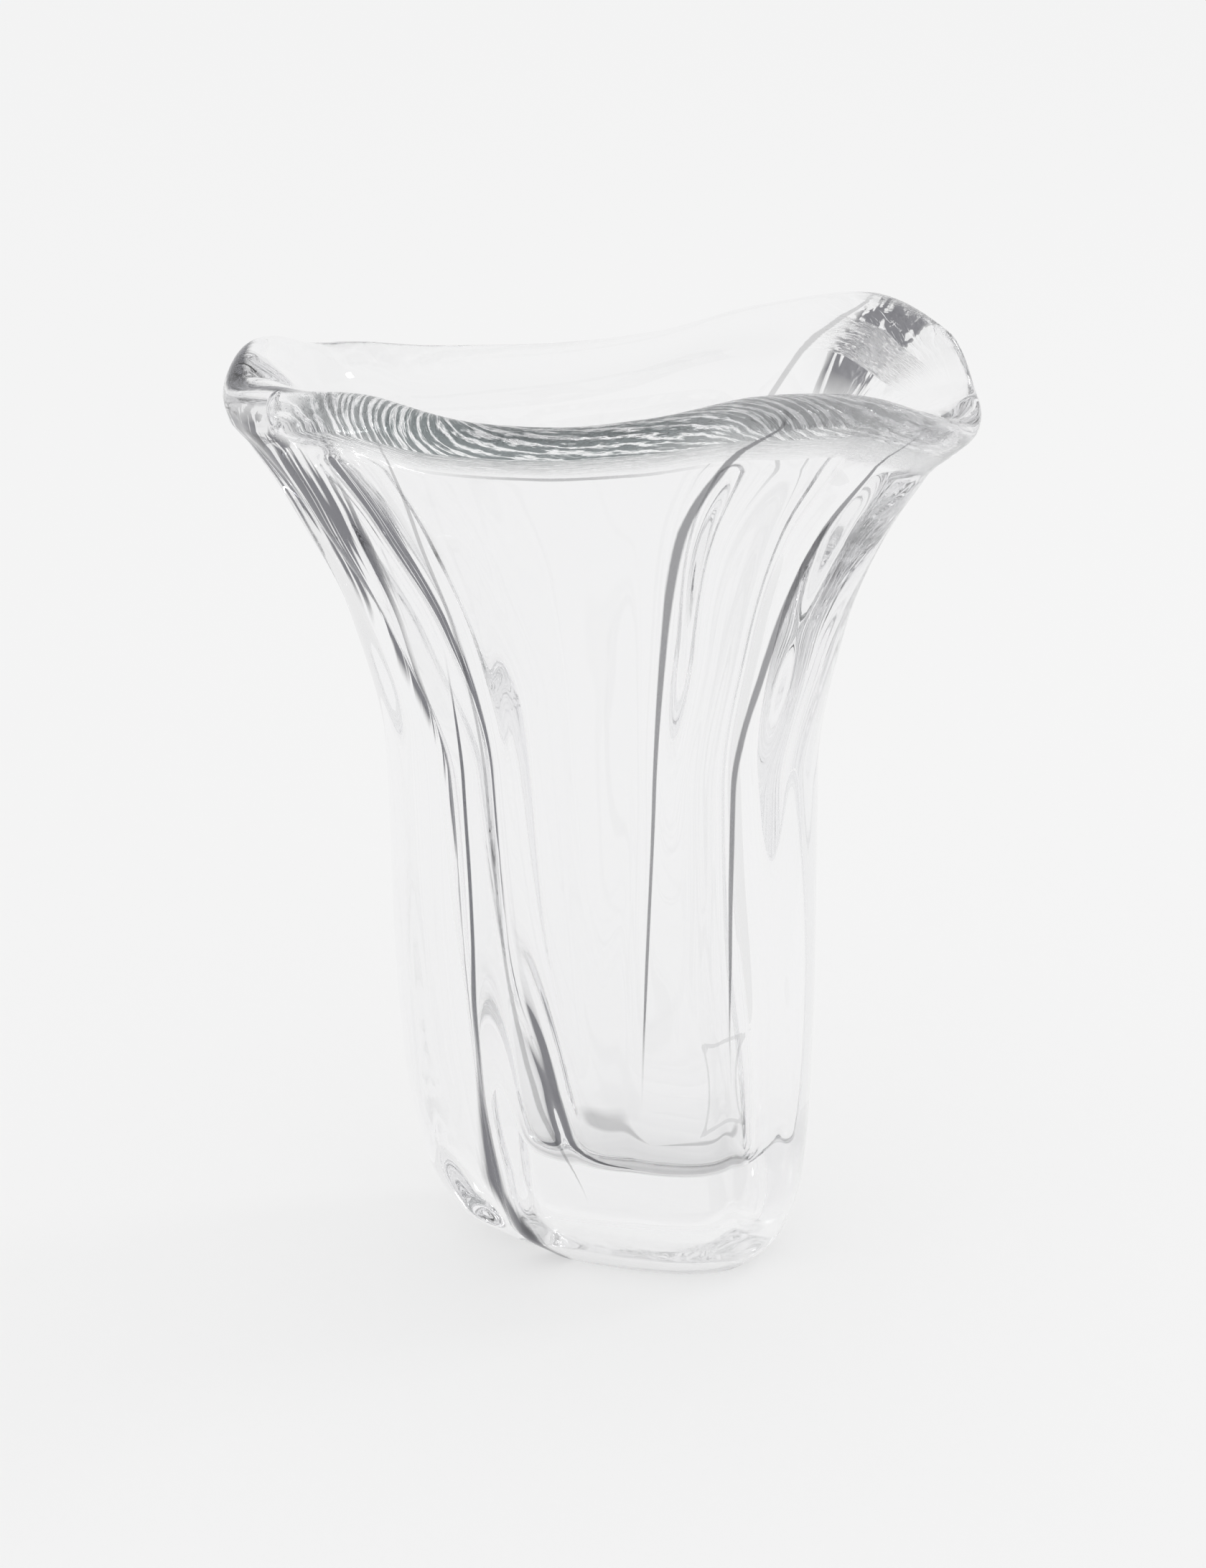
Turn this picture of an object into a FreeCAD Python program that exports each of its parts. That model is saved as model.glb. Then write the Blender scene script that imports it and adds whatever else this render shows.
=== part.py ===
import FreeCAD, Part
import math
import os

# A heavy clear glass fan vase, one gather of glass blown into a ribbed mould and then
# opened and pulled out at the mouth by hand. It stands on a flat ground foot. The body is
# an oval with four upright grooves that part two wide faces from two end lobes, and the
# mouth is a wide flared oval whose rounded lip rises and falls.
# X runs along the fan, Y from front to back (the front is towards minus Y), Z is up.
# The origin lies on the foot face, under the middle of the waist. Lengths are millimetres.

doc = FreeCAD.newDocument("fan_vase")
sheet = doc.addObject("Spreadsheet::Sheet", "sizes")

SIZES = [
    # the outside of the body
    ("mouth_height", 278.0, "mean height of the rim over the foot face"),
    ("mouth_length", 224.0, "along the fan, outside, at the rim, less the lip's swelling"),
    ("mouth_depth", 105.0, "front to back, outside, at the rim, less the lip's swelling"),
    ("mouth_shift", -6.0, "how far the mouth's middle lies to the right of the origin"),
    ("waist_length", 130.5, "along the fan where the body is straight"),
    ("waist_depth", 80.0, "front to back where the body is straight"),
    ("foot_length", 78.0, "along the fan, of the flat ground face"),
    ("foot_depth", 42.0, "front to back, of the flat ground face"),
    ("foot_shift", 8.0, "how far the foot's middle lies to the right of the origin"),
    # the lip
    ("lip_thickness", 13.5, "across the rounded lip in the middle of the front and the back"),
    ("lip_turn_out", 6.0, "how far the front and back of the lip are turned out"),
    # the cavity and its walls
    ("base_thickness", 34.0, "solid glass under the cavity"),
    ("neck_wall", 9.5, "front and back walls just below the lip, the thinnest place"),
    ("side_wall", 13.0, "front and back walls at the waist"),
    ("end_wall", 18.0, "walls of the two end lobes at the waist"),
    ("cavity_shift", 13.0, "how far the cavity's floor lies to the right of the body's middle"),
    ("cavity_corner", 9.0, "radius between the cavity's wall and floor"),
    # the grooves
    ("groove_depth", 9.0, "deepest point of an upright groove, at the waist"),
    ("crease_depth", 2.5, "deepest point of the creases that frame the wide faces"),
    ("ridge_height", 7.0, "how far a groove stands into the cavity, at its highest"),
    # how the hand-worked rim stands above or below its mean height
    ("rim_left_end", -5.5, "at the left end"),
    ("rim_left_front_dip", -12.5, "just in front of the left end"),
    ("rim_left_front_groove", -7.0, "over the left front groove"),
    ("rim_front_left", -1.0, "left of the middle of the front"),
    ("rim_front_hollow", -3.0, "a little left of the middle of the front"),
    ("rim_front_middle", -1.5, "in the middle of the front"),
    ("rim_front_right", 3.0, "right of the middle of the front"),
    ("rim_front_rise", 9.0, "where the front rises towards its right groove"),
    ("rim_right_front_groove", 8.2, "over the right front groove"),
    ("rim_right_front_slope", 1.0, "between the right front groove and the right end"),
    ("rim_right_end", -7.5, "at the right end"),
    ("rim_right_back_slope", -3.0, "between the right end and the right back groove"),
    ("rim_right_back_groove", 11.0, "over the right back groove"),
    ("rim_back_peak", 17.5, "the highest point, left of the right back groove"),
    ("rim_back_right", 10.0, "right of the middle of the back"),
    ("rim_back_middle", -1.5, "in the middle of the back"),
    ("rim_back_left", -10.5, "left of the middle of the back"),
    ("rim_left_back_groove", -14.5, "over the left back groove, the lowest point"),
    ("rim_left_back_slope", -12.5, "between the left back groove and the left end"),
]
for row, (alias, value, note) in enumerate(SIZES, start=1):
    sheet.set(f"A{row}", alias)
    sheet.set(f"B{row}", str(value))
    sheet.set(f"C{row}", note)
    sheet.setAlias(f"B{row}", alias)
doc.recompute()
size = {alias: float(sheet.get(alias)) for alias, value, note in SIZES}

# Levels up the wall, as shares of the rim's height, and what holds at each of them:
# how much of the foot's narrowing and of the mouth's flare is there.
LEVEL_SHARES = [0.0, 0.035, 0.10, 0.22, 0.40, 0.58, 0.74, 0.87, 0.95, 1.0]
TAPER_SHARES = [1.0, 0.51, 0.22, 0.06, 0.0, 0.0, 0.0, 0.0, 0.0, 0.0]
FLARE_SHARES = [0.0, 0.0, 0.0, 0.0, 0.0, 0.01, 0.205, 0.565, 0.85, 1.0]
LEAN_SHARES = [0.2, 0.2, 0.25, 0.4, 0.5, 0.6, 0.95, 1.55, 1.65, 0.75]
# What the walls gain over the neck's thickness: 1 is the waist's gain, and the heel has more.
SIDE_WALL_SHARES = [2.4, 2.4, 2.4, 1.8, 1.15, 0.85, 0.55, 0.25, 0.08, 0.0]
END_WALL_SHARES = [2.0, 2.0, 2.0, 1.7, 1.15, 1.1, 1.3, 1.6, 1.6, 1.2]
# How far the cavity is shifted to the right.
CAVITY_SHARES = [1.0, 1.0, 1.0, 0.85, 0.3, 0.05, 0.0, 0.0, 0.0, 0.0]

# Grooves and creases come in pairs, one on the front and its mirror on the back. Each has a
# course, in degrees round the oval from the right end, and shares of its depth.
LEFT_GROOVE_ANGLES = [130.0, 128.0, 126.5, 127.5, 130.5, 133.5, 144.5, 152.0, 154.0, 152.0]
LEFT_GROOVE_SHARES = [0.35, 0.6, 0.9, 1.0, 1.0, 1.0, 0.95, 0.85, 0.55, 0.2]
RIGHT_GROOVE_ANGLES = [36.0, 36.0, 36.0, 36.5, 42.0, 42.5, 39.5, 38.5, 38.0, 42.0]
RIGHT_GROOVE_SHARES = [0.0, 0.1, 0.35, 0.75, 0.95, 1.0, 0.95, 0.8, 0.4, 0.1]
LEFT_CREASE_ANGLES = [104.0, 104.0, 104.0, 104.0, 107.0, 109.0, 109.5, 112.5, 114.5, 114.5]
RIGHT_CREASE_ANGLES = [71.0, 71.0, 71.0, 71.0, 70.0, 67.3, 67.0, 66.5, 62.0, 56.0]
CREASE_SHARES = [0.0, 0.0, 0.0, 0.2, 0.7, 1.0, 1.0, 0.9, 0.5, 0.0]
RIDGE_SHARES = [0.3, 0.3, 0.3, 0.35, 0.45, 0.6, 0.8, 1.0, 0.9, 0.55]
# Degrees from the middle of a dent to where it is a third as deep.
GROOVE_DEGREES = 10.0
CREASE_DEGREES = 4.5
RIDGE_DEGREES = 13.0
OVAL_POWER = 2.4  # 2 is an ellipse, and more is squarer

# The rim's wave: angles round the oval, from the left end by the front and back again.
RIM_ANGLES = [
    -180.0, -160.0, -138.0, -120.0, -104.0, -88.0, -72.0, -54.0, -38.0, -22.0,
    2.0, 22.0, 34.0, 52.0, 72.0, 90.0, 112.0, 134.0, 156.0,
]
RIM_NAMES = [alias for alias, value, note in SIZES if alias.startswith("rim_")]
WAVE_POWER = 4  # how fast the rim's wave dies out down the wall

# Levels where the wall starts to swell into the lip, over which it does so, and where the
# front and back start to turn out.
SWELL_START_SHARE = 0.945
SWELL_RISE_SHARE = 0.03
TURN_START_SHARE = 0.90

COLUMNS = 120  # control points round the oval


def curve_through(places, values, place):
    """Value at a place of the smooth curve through the points, flat where they turn back."""
    spans = [b - a for a, b in zip(places, places[1:])]
    slopes = [(b - a) / span for a, b, span in zip(values, values[1:], spans)]
    tangents = [slopes[0]]
    for before, after in zip(slopes, slopes[1:]):
        product = before * after
        tangents.append(2.0 * product / (before + after) if product > 0 else 0.0)
    tangents.append(slopes[-1])
    index = max(i for i in range(len(spans)) if i == 0 or places[i] <= place)
    span = spans[index]
    u = (place - places[index]) / span
    return (
        (1 + 2 * u) * (1 - u) ** 2 * values[index]
        + u * (1 - u) ** 2 * span * tangents[index]
        + u * u * (3 - 2 * u) * values[index + 1]
        + u * u * (u - 1) * span * tangents[index + 1]
    )


def at_level(shares, level):
    return curve_through(LEVEL_SHARES, shares, level)


def rim_wave(angle):
    """Height of the rim over its mean at an angle in degrees, smooth all the way round."""
    heights = [size[name] for name in RIM_NAMES]
    places = [a - 360.0 for a in RIM_ANGLES[-2:]] + RIM_ANGLES + [a + 360.0 for a in RIM_ANGLES[:2]]
    turned = (angle + 180.0) % 360.0 - 180.0
    return curve_through(places, heights[-2:] + heights + heights[:2], turned)


def dent(angle, centre, spread):
    """A bell curve round the oval: 1 at its centre, dying out on both sides."""
    off = (angle - centre + 180.0) % 360.0 - 180.0
    return math.exp(-((off / spread) ** 2))


def dents(angle, level, courses, spread):
    """Sum of the dents at a point, each pair by its course and its shares of depth."""
    total = 0.0
    for course, shares in courses:
        centre = at_level(course, level)
        total += at_level(shares, level) * (dent(angle, centre, spread) + dent(angle, -centre, spread))
    return total


def outer_push(angle, level):
    """How far the grooves and creases push the outer wall in."""
    grooves = [(LEFT_GROOVE_ANGLES, LEFT_GROOVE_SHARES), (RIGHT_GROOVE_ANGLES, RIGHT_GROOVE_SHARES)]
    creases = [(LEFT_CREASE_ANGLES, CREASE_SHARES), (RIGHT_CREASE_ANGLES, CREASE_SHARES)]
    return (
        size["groove_depth"] * dents(angle, level, grooves, GROOVE_DEGREES)
        + size["crease_depth"] * dents(angle, level, creases, CREASE_DEGREES)
    )


def inner_push(angle, level):
    """How far the grooves stand into the cavity, as low rounded ridges."""
    ridges = [(LEFT_GROOVE_ANGLES, RIDGE_SHARES), (RIGHT_GROOVE_ANGLES, RIDGE_SHARES)]
    return size["ridge_height"] * dents(angle, level, ridges, RIDGE_DEGREES)


def oval_point(angle, half_length, half_depth, push):
    """Point of a squared oval, drawn in towards its middle by the push."""
    c = math.cos(math.radians(angle))
    s = math.sin(math.radians(angle))
    stretch = (abs(c) ** OVAL_POWER + abs(s) ** OVAL_POWER) ** (-1.0 / OVAL_POWER)
    x = half_length * c * stretch
    y = half_depth * s * stretch
    keep = 1 - push / math.hypot(x, y)
    return x * keep, y * keep


def middle_x(level):
    """The oval's middle along the fan: over the foot's, the waist's and then the mouth's."""
    return (
        size["foot_shift"] * at_level(TAPER_SHARES, level)
        + size["mouth_shift"] * at_level(LEAN_SHARES, level)
    )


def swell(level):
    """How far the wall has swollen into the lip: 0 below it and 1 in it, by a smooth step."""
    u = min(max((level - SWELL_START_SHARE) / SWELL_RISE_SHARE, 0.0), 1.0)
    return u * u * (3 - 2 * u)


def half_sizes(level):
    """Half length and half depth of the outside at a level."""
    taper = at_level(TAPER_SHARES, level)
    flare = at_level(FLARE_SHARES, level)
    halves = []
    for waist, foot, mouth in (
        ("waist_length", "foot_length", "mouth_length"),
        ("waist_depth", "foot_depth", "mouth_depth"),
    ):
        full = size[waist] - (size[waist] - size[foot]) * taper
        full += (size[mouth] - size[waist]) * flare
        full += (size["lip_thickness"] - size["neck_wall"]) * swell(level)
        halves.append(full / 2)
    turned = max(level - TURN_START_SHARE, 0.0) / (1 - TURN_START_SHARE)
    halves[1] += size["lip_turn_out"] * turned ** 2
    return halves


def height_at(angle, level):
    return level * size["mouth_height"] + rim_wave(angle) * level ** WAVE_POWER


def outside_point(angle, level):
    """Point of the outer wall."""
    half_length, half_depth = half_sizes(level)
    x, y = oval_point(angle, half_length, half_depth, outer_push(angle, level))
    return FreeCAD.Vector(middle_x(level) + x, y, height_at(angle, level))


def inside_point(angle, level, inset=0.0):
    """Point of the cavity's wall, drawn in further by the inset near its floor."""
    half_length, half_depth = half_sizes(level)
    common = size["neck_wall"] + inset + (size["lip_thickness"] - size["neck_wall"]) * swell(level)
    end_gain = (size["end_wall"] - size["neck_wall"]) * at_level(END_WALL_SHARES, level)
    side_gain = (size["side_wall"] - size["neck_wall"]) * at_level(SIDE_WALL_SHARES, level)
    x, y = oval_point(
        angle,
        half_length - common - end_gain,
        half_depth - common - side_gain,
        inner_push(angle, level),
    )
    shift = size["cavity_shift"] * at_level(CAVITY_SHARES, level)
    return FreeCAD.Vector(middle_x(level) + shift + x, y, height_at(angle, level))


LIP_LEVEL = 0.982  # where the walls end and the lip's rounding starts
LEVEL_STEP = 0.01  # short step along the wall that gives its lean


def lip_point(angle, roll):
    """Point of the rounded lip: half a circle across the wall, from outside to inside."""
    outer = outside_point(angle, LIP_LEVEL)
    inner = inside_point(angle, LIP_LEVEL)
    centre = (outer + inner) * 0.5
    below = outside_point(angle, LIP_LEVEL - LEVEL_STEP) + inside_point(angle, LIP_LEVEL - LEVEL_STEP)
    along = centre - below * 0.5
    along.normalize()
    across = outer - centre
    return centre + across * math.cos(roll) + along * (across.Length * math.sin(roll))


# Rows of control points in the order in which a finger would follow the glass: from the
# foot's edge up the outside, over the lip, down the inside and round to the cavity floor.
OUTSIDE_SHARES = [
    0.0, 0.004, 0.012, 0.024, 0.04, 0.065, 0.10, 0.15, 0.21, 0.28, 0.35, 0.42, 0.49,
    0.56, 0.63, 0.69, 0.75, 0.80, 0.845, 0.885, 0.915, 0.935, 0.95, 0.962, 0.973, LIP_LEVEL,
]
INSIDE_SHARES = [
    LIP_LEVEL, 0.973, 0.962, 0.95, 0.935, 0.915, 0.885, 0.845, 0.80, 0.75, 0.69, 0.63, 0.56, 0.49,
    0.42, 0.35, 0.28, 0.225,
]
LIP_STEPS = 6  # steps over the lip
CORNER_STEPS = 5  # steps round the cavity's corner

angles = [360.0 * i / COLUMNS for i in range(COLUMNS)]
rows = [[outside_point(a, level) for a in angles] for level in OUTSIDE_SHARES]
for step in range(1, LIP_STEPS):
    roll = math.pi * step / LIP_STEPS
    rows.append([lip_point(a, roll) for a in angles])
rows += [[inside_point(a, level) for a in angles] for level in INSIDE_SHARES]
for step in range(CORNER_STEPS + 1):
    turn = math.pi / 2 * step / CORNER_STEPS
    height = size["base_thickness"] + size["cavity_corner"] * (1 - math.sin(turn))
    inset = size["cavity_corner"] * (1 - math.cos(turn))
    level = height / size["mouth_height"]
    row = [inside_point(a, level, inset) for a in angles]
    for point in row:
        point.z = height
    rows.append(row)

# One smooth skin over those rows: periodic round the oval, ending at the first and last row.
DEGREE = 3
skin = Part.BSplineSurface()
skin.buildFromPolesMultsKnots(
    rows,
    [DEGREE + 1] + [1] * (len(rows) - DEGREE - 1) + [DEGREE + 1],
    [1] * (COLUMNS + 1),
    list(range(len(rows) - DEGREE + 1)),
    list(range(COLUMNS + 1)),
    False,
    True,
    DEGREE,
    DEGREE,
)
wall_face = skin.toShape()


def flat_face(height):
    """Flat face in the open edge of the skin that lies all at one height."""
    tolerance = size["lip_thickness"] / 1000
    for edge in wall_face.Edges:
        box = edge.BoundBox
        if box.ZLength < tolerance and abs(box.ZMin - height) < tolerance and edge.isClosed():
            return Part.Face(Part.Wire([edge]))
    raise RuntimeError(f"the skin has no flat edge at {height}")


foot_face = flat_face(0.0)
floor_face = flat_face(size["base_thickness"])
shell = Part.makeShell([wall_face, foot_face, floor_face])
shell.sewShape()
glass = Part.makeSolid(shell)
if glass.Volume < 0:
    glass.reverse()

vase_body = doc.addObject("Part::Feature", "vase_body")
vase_body.Label = "vase_body"
vase_body.Shape = glass
vase_body.Placement = FreeCAD.Placement()
doc.recompute()

parts = [vase_body]
for item in doc.Objects:
    if "Invalid" in item.State or "Error" in item.State:
        raise RuntimeError(f"{item.Label} failed: {item.State}")
for part in parts:
    if part.Shape.isNull() or not part.Shape.isValid():
        raise RuntimeError(f"{part.Label} has no valid shape")
os.makedirs("parts", exist_ok=True)
for part in parts:
    part.Shape.exportStep(f"parts/{part.Label}.step")
    box = part.Shape.BoundBox
    print(
        part.Label, "solids", len(part.Shape.Solids), "volume cm3", round(part.Shape.Volume / 1000, 1),
        "box", round(box.XMin, 1), round(box.XMax, 1), round(box.YMin, 1), round(box.YMax, 1),
        round(box.ZMin, 1), round(box.ZMax, 1),
    )
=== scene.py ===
import math
import bpy
import numpy as np
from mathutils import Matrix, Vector


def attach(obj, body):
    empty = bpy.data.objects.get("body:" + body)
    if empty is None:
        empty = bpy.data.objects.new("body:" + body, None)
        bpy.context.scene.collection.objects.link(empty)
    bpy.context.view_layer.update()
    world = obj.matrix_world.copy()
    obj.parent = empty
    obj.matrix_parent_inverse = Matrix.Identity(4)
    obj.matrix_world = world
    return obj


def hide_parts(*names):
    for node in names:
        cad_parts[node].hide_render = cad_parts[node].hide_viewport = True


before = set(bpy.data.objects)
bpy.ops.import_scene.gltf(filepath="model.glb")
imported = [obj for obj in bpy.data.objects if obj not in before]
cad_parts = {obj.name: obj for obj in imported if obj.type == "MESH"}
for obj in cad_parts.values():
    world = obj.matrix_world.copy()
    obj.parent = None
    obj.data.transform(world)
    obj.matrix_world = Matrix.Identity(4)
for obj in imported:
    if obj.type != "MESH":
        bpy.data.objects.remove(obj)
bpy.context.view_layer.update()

# The view: a long lens a little over a metre away, looking down on the vase from its
# front right. Sizes are metres. The lens's angle is taken over the picture's long side.
VIEW_TURN = math.radians(18.0)
VIEW_DISTANCE = 1.17
VIEW_HEIGHT = 0.608
VIEW_AIM = Vector((-0.003, 0.0, 0.151))
LENS = 96.0
lens_data = bpy.data.cameras.new("view")
lens_data.lens = LENS
view = bpy.data.objects.new("view", lens_data)
view.location = (VIEW_DISTANCE * math.sin(VIEW_TURN), -VIEW_DISTANCE * math.cos(VIEW_TURN), VIEW_HEIGHT)
view.rotation_euler = (VIEW_AIM - view.location).to_track_quat("-Z", "Y").to_euler()
bpy.context.scene.collection.objects.link(view)
bpy.context.scene.camera = view

# The vase: one gather of clear glass blown into a ribbed mould, cut from the iron at the
# mouth, reheated, and pulled out by hand into a wide fan. Its oval body has four upright
# grooves and four faint creases. The foot is ground flat, and the flame rounds the lip.
MOUTH_HEIGHT, MOUTH_LENGTH, MOUTH_DEPTH, MOUTH_SHIFT = 0.278, 0.2231, 0.105, -0.006
WAIST_LENGTH, WAIST_DEPTH = 0.1305, 0.080
FOOT_LENGTH, FOOT_DEPTH, FOOT_SHIFT = 0.078, 0.042, 0.008
BASE_THICKNESS, CAVITY_CORNER, CAVITY_SHIFT = 0.034, 0.009, 0.013
LIP_THICKNESS, NECK_WALL, SIDE_WALL, END_WALL = 0.0135, 0.0095, 0.013, 0.018
LIP_TURN_OUT = 0.0056
GROOVE_DEPTH, CREASE_DEPTH, RIDGE_HEIGHT = 0.009, 0.0013, 0.007
# spreads of the grooves, creases and ridges, in degrees round the oval
GROOVE_SPREAD, CREASE_SPREAD, RIDGE_SPREAD = 10.0, 5.0, 13.0
OVAL_POWER = 2.4
WAVE_POWER = 4
LIP_LEVEL = 0.982
SWELL_START, SWELL_RISE = 0.945, 0.03
TURN_START = 0.90
LEVEL_STEP = 0.01

# Shares up the wall, by level, a level being a share of the rim's height.
LEVELS = [0.0, 0.035, 0.10, 0.22, 0.40, 0.58, 0.74, 0.87, 0.95, 1.0]
TAPER = [1.0, 0.51, 0.22, 0.06, 0.0, 0.0, 0.0, 0.0, 0.0, 0.0]
FLARE = [0.0, 0.0, 0.0, 0.0, 0.0, 0.01, 0.205, 0.565, 0.85, 1.0]
LEAN = [0.2, 0.2, 0.25, 0.4, 0.5, 0.6, 0.95, 1.55, 1.65, 0.75]
# What the walls gain over the neck's, 1 being the waist's gain, and the cavity's shift.
SIDE_GAIN = [2.4, 2.4, 2.4, 1.8, 1.15, 0.85, 0.55, 0.25, 0.08, 0.0]
END_GAIN = [2.0, 2.0, 2.0, 1.7, 1.15, 1.1, 1.3, 1.6, 1.6, 1.2]
CAVITY = [1.0, 1.0, 1.0, 0.85, 0.3, 0.05, 0.0, 0.0, 0.0, 0.0]
# Two grooves and two creases on each face: angle round the oval, then depth, by level.
LEFT_GROOVE = [130, 128, 126.5, 127.5, 130.5, 133.5, 144.5, 152, 154, 152]
LEFT_GROOVE_SHARE = [0.35, 0.6, 0.9, 1, 1, 1, 0.95, 0.85, 0.55, 0.2]
RIGHT_GROOVE = [36, 36, 36, 36.5, 42, 42.5, 39.5, 38.5, 38, 42]
RIGHT_GROOVE_SHARE = [0, 0.1, 0.35, 0.75, 0.95, 1, 0.95, 0.8, 0.4, 0.1]
LEFT_CREASE = [104, 104, 104, 104, 107, 109, 109.5, 112.5, 114.5, 114.5]
RIGHT_CREASE = [71, 71, 71, 71, 70, 67.3, 67, 66.5, 62, 56]
CREASE_SHARE = [0, 0, 0.1, 0.6, 1, 1, 1, 0.9, 0.5, 0]
RIDGE = [0.3, 0.3, 0.3, 0.35, 0.45, 0.6, 0.8, 1.0, 0.9, 0.55]
# The rim's wave: angle round the oval in degrees, and height over its mean in metres.
RIM = [
    (-180, -0.0055), (-160, -0.0125), (-138, -0.007), (-120, -0.001), (-104, -0.003),
    (-88, -0.0015), (-72, 0.003), (-54, 0.009), (-38, 0.0082), (-22, 0.001), (2, -0.0075),
    (22, -0.003), (34, 0.011), (52, 0.0170), (72, 0.010), (90, -0.0015), (112, -0.0105),
    (134, -0.0145), (156, -0.0125),
]


def curve_through(places, values, place):
    """Smooth curve through points: cubic pieces whose slopes are harmonic means, 0 at turns."""
    places, values = np.asarray(places, float), np.asarray(values, float)
    spans = np.diff(places)
    slopes = np.diff(values) / spans
    product = slopes[:-1] * slopes[1:]
    total = np.where(product > 0, slopes[:-1] + slopes[1:], 1.0)
    inner = np.where(product > 0, 2 * product / total, 0.0)
    tangents = np.concatenate([slopes[:1], inner, slopes[-1:]])
    i = np.clip(np.searchsorted(places, place, side="right") - 1, 0, len(spans) - 1)
    u = (place - places[i]) / spans[i]
    return (
        (1 + 2 * u) * (1 - u) ** 2 * values[i] + u * (1 - u) ** 2 * spans[i] * tangents[i]
        + u * u * (3 - 2 * u) * values[i + 1] + u * u * (u - 1) * spans[i] * tangents[i + 1]
    )


def at_level(shares, level):
    """Value of a table of shares at a level."""
    return curve_through(LEVELS, shares, level)


def ramp(value, low, high):
    """Straight rise from 0 at the low limit to 1 at the high one, or a fall if they swap."""
    return np.clip((value - low) / (high - low), 0, 1)


def smooth_ramp(value, low, high):
    """The same rise eased at both ends: three times its square less twice its cube."""
    u = ramp(value, low, high)
    return u * u * (3 - 2 * u)


def bell(angle, centre, spread):
    """Bell curve round the oval: e to the minus square of the distance in spreads."""
    off = (angle - centre + 180) % 360 - 180
    return np.exp(-((off / spread) ** 2))


def hump(value, centre, spread, power=2):
    """Bell curve along a line: e to the minus power of the distance in spreads."""
    return np.exp(-(((value - centre) / spread) ** power))


def rim_wave(angle):
    """Height of the rim over its mean: a smooth curve round the oval, closed on itself."""
    places, heights = np.array(RIM).T
    places = np.concatenate([places[-2:] - 360, places, places[:2] + 360])
    heights = np.concatenate([heights[-2:], heights, heights[:2]])
    return curve_through(places, heights, (angle + 180) % 360 - 180)


def dents(angle, level, course, depths, spread):
    """A pair of upright dents, one on the front and its mirror on the back: bells round the
    oval that follow their course of angles, as deep as the shares of depth say."""
    centre = at_level(course, level)
    return at_level(depths, level) * (bell(angle, centre, spread) + bell(angle, -centre, spread))


def outer_dents(angle, level):
    """How far grooves and creases push the outer wall in."""
    return GROOVE_DEPTH * (
        dents(angle, level, LEFT_GROOVE, LEFT_GROOVE_SHARE, GROOVE_SPREAD)
        + dents(angle, level, RIGHT_GROOVE, RIGHT_GROOVE_SHARE, GROOVE_SPREAD)
    ) + CREASE_DEPTH * (
        dents(angle, level, LEFT_CREASE, CREASE_SHARE, CREASE_SPREAD)
        + dents(angle, level, RIGHT_CREASE, CREASE_SHARE, CREASE_SPREAD)
    )


def inner_dents(angle, level):
    """How far the grooves stand into the cavity, as low rounded ridges."""
    return RIDGE_HEIGHT * (
        dents(angle, level, LEFT_GROOVE, RIDGE, RIDGE_SPREAD)
        + dents(angle, level, RIGHT_GROOVE, RIDGE, RIDGE_SPREAD)
    )


def oval(angle, half_length, half_depth, push):
    """Section at a level: a squared oval, x to the power plus y to the power equal to one,
    drawn in towards its middle by the push."""
    c, s = np.cos(np.radians(angle)), np.sin(np.radians(angle))
    stretch = (np.abs(c) ** OVAL_POWER + np.abs(s) ** OVAL_POWER) ** (-1 / OVAL_POWER)
    x, y = half_length * c * stretch, half_depth * s * stretch
    keep = 1 - push / np.hypot(x, y)
    return x * keep, y * keep


def swell(level):
    """How far the wall has swollen into the lip: 0 below it, 1 in it, by a smooth step."""
    return smooth_ramp(level, SWELL_START, SWELL_START + SWELL_RISE)


def half_sizes(level):
    """Half length and half depth outside: the waist's, less the foot's taper, plus the
    flare, with half the lip's swelling, and the depth turned out at the rim by a square."""
    taper, flare = at_level(TAPER, level), at_level(FLARE, level)
    length = WAIST_LENGTH - (WAIST_LENGTH - FOOT_LENGTH) * taper + (MOUTH_LENGTH - WAIST_LENGTH) * flare
    depth = WAIST_DEPTH - (WAIST_DEPTH - FOOT_DEPTH) * taper + (MOUTH_DEPTH - WAIST_DEPTH) * flare
    swollen = (LIP_THICKNESS - NECK_WALL) * swell(level)
    turned = LIP_TURN_OUT * ramp(level, TURN_START, 1) ** 2
    return (length + swollen) / 2, (depth + swollen) / 2 + turned


def placed(angle, level, x, y):
    """Point in the vase: the section's, moved along the fan and up, with the rim's wave."""
    middle = FOOT_SHIFT * at_level(TAPER, level) + MOUTH_SHIFT * at_level(LEAN, level)
    height = level * MOUTH_HEIGHT + rim_wave(angle) * level ** WAVE_POWER
    return np.stack([middle + x, y, height], -1)


def outside(angle, level):
    """Outer wall at an angle and a level."""
    half_length, half_depth = half_sizes(level)
    return placed(angle, level, *oval(angle, half_length, half_depth, outer_dents(angle, level)))


def inside(angle, level, inset):
    """Cavity wall: the oval less the wall's thickness, which is the neck's plus its gain, with
    low ridges behind the grooves, and shifted to the right towards the floor."""
    half_length, half_depth = half_sizes(level)
    common = NECK_WALL + inset + (LIP_THICKNESS - NECK_WALL) * swell(level)
    half_length = half_length - common - (END_WALL - NECK_WALL) * at_level(END_GAIN, level)
    half_depth = half_depth - common - (SIDE_WALL - NECK_WALL) * at_level(SIDE_GAIN, level)
    x, y = oval(angle, half_length, half_depth, inner_dents(angle, level))
    return placed(angle, level, x + CAVITY_SHIFT * at_level(CAVITY, level), y)


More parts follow.
